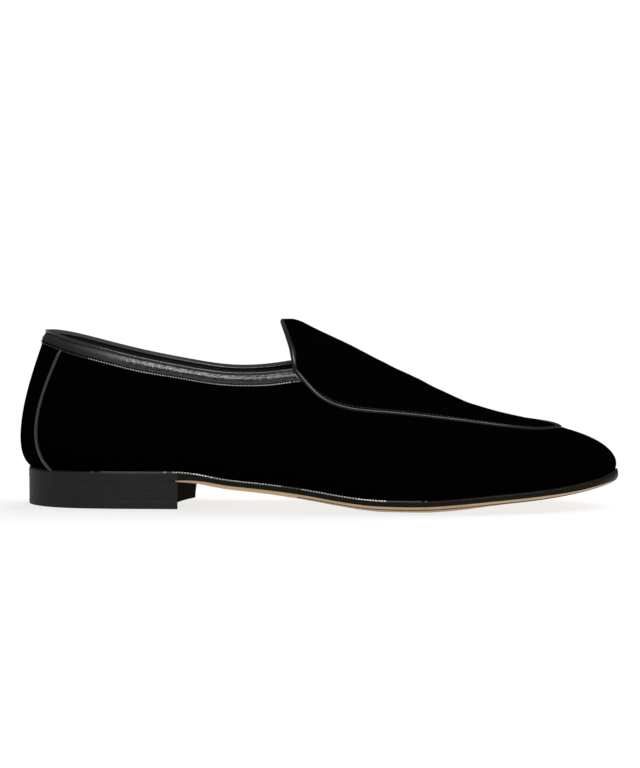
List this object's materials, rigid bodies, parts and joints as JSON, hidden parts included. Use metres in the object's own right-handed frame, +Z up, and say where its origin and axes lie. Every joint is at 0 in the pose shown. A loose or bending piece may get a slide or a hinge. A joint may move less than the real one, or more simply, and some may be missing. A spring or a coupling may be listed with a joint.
{
  "type": "velvet slipper loafer",
  "caption": "Right slip-on slipper loafer with a velvet upper, piped apron and tongue, bound collar, thin leather sole and low stacked heel.",
  "frame": {"origin": "middle of the shoe's outline on the floor, under the sole", "axes": "+X towards the toe, +Y towards the inner side of the foot, +Z up"},
  "size_m": [0.2986, 0.1, 0.0926],
  "materials": {
    "velvet": "short black velvet pile, matte with a faint sheen at its edges",
    "trim_leather": "black calf with a fine grain and a soft gloss",
    "outsole_leather": "tan sole leather with a black inked edge",
    "heel_leather": "black inked stacked leather, satin",
    "lining_leather": "smooth black lining leather"
  },
  "bodies": {
    "root": {"outsole": "outsole_leather", "heel": "heel_leather", "upper": "velvet", "insole": "lining_leather", "collar_binding": "trim_leather", "apron_piping": "trim_leather", "heel_piping_outer": "trim_leather", "heel_piping_inner": "trim_leather"}
  },
  "joints": []
}
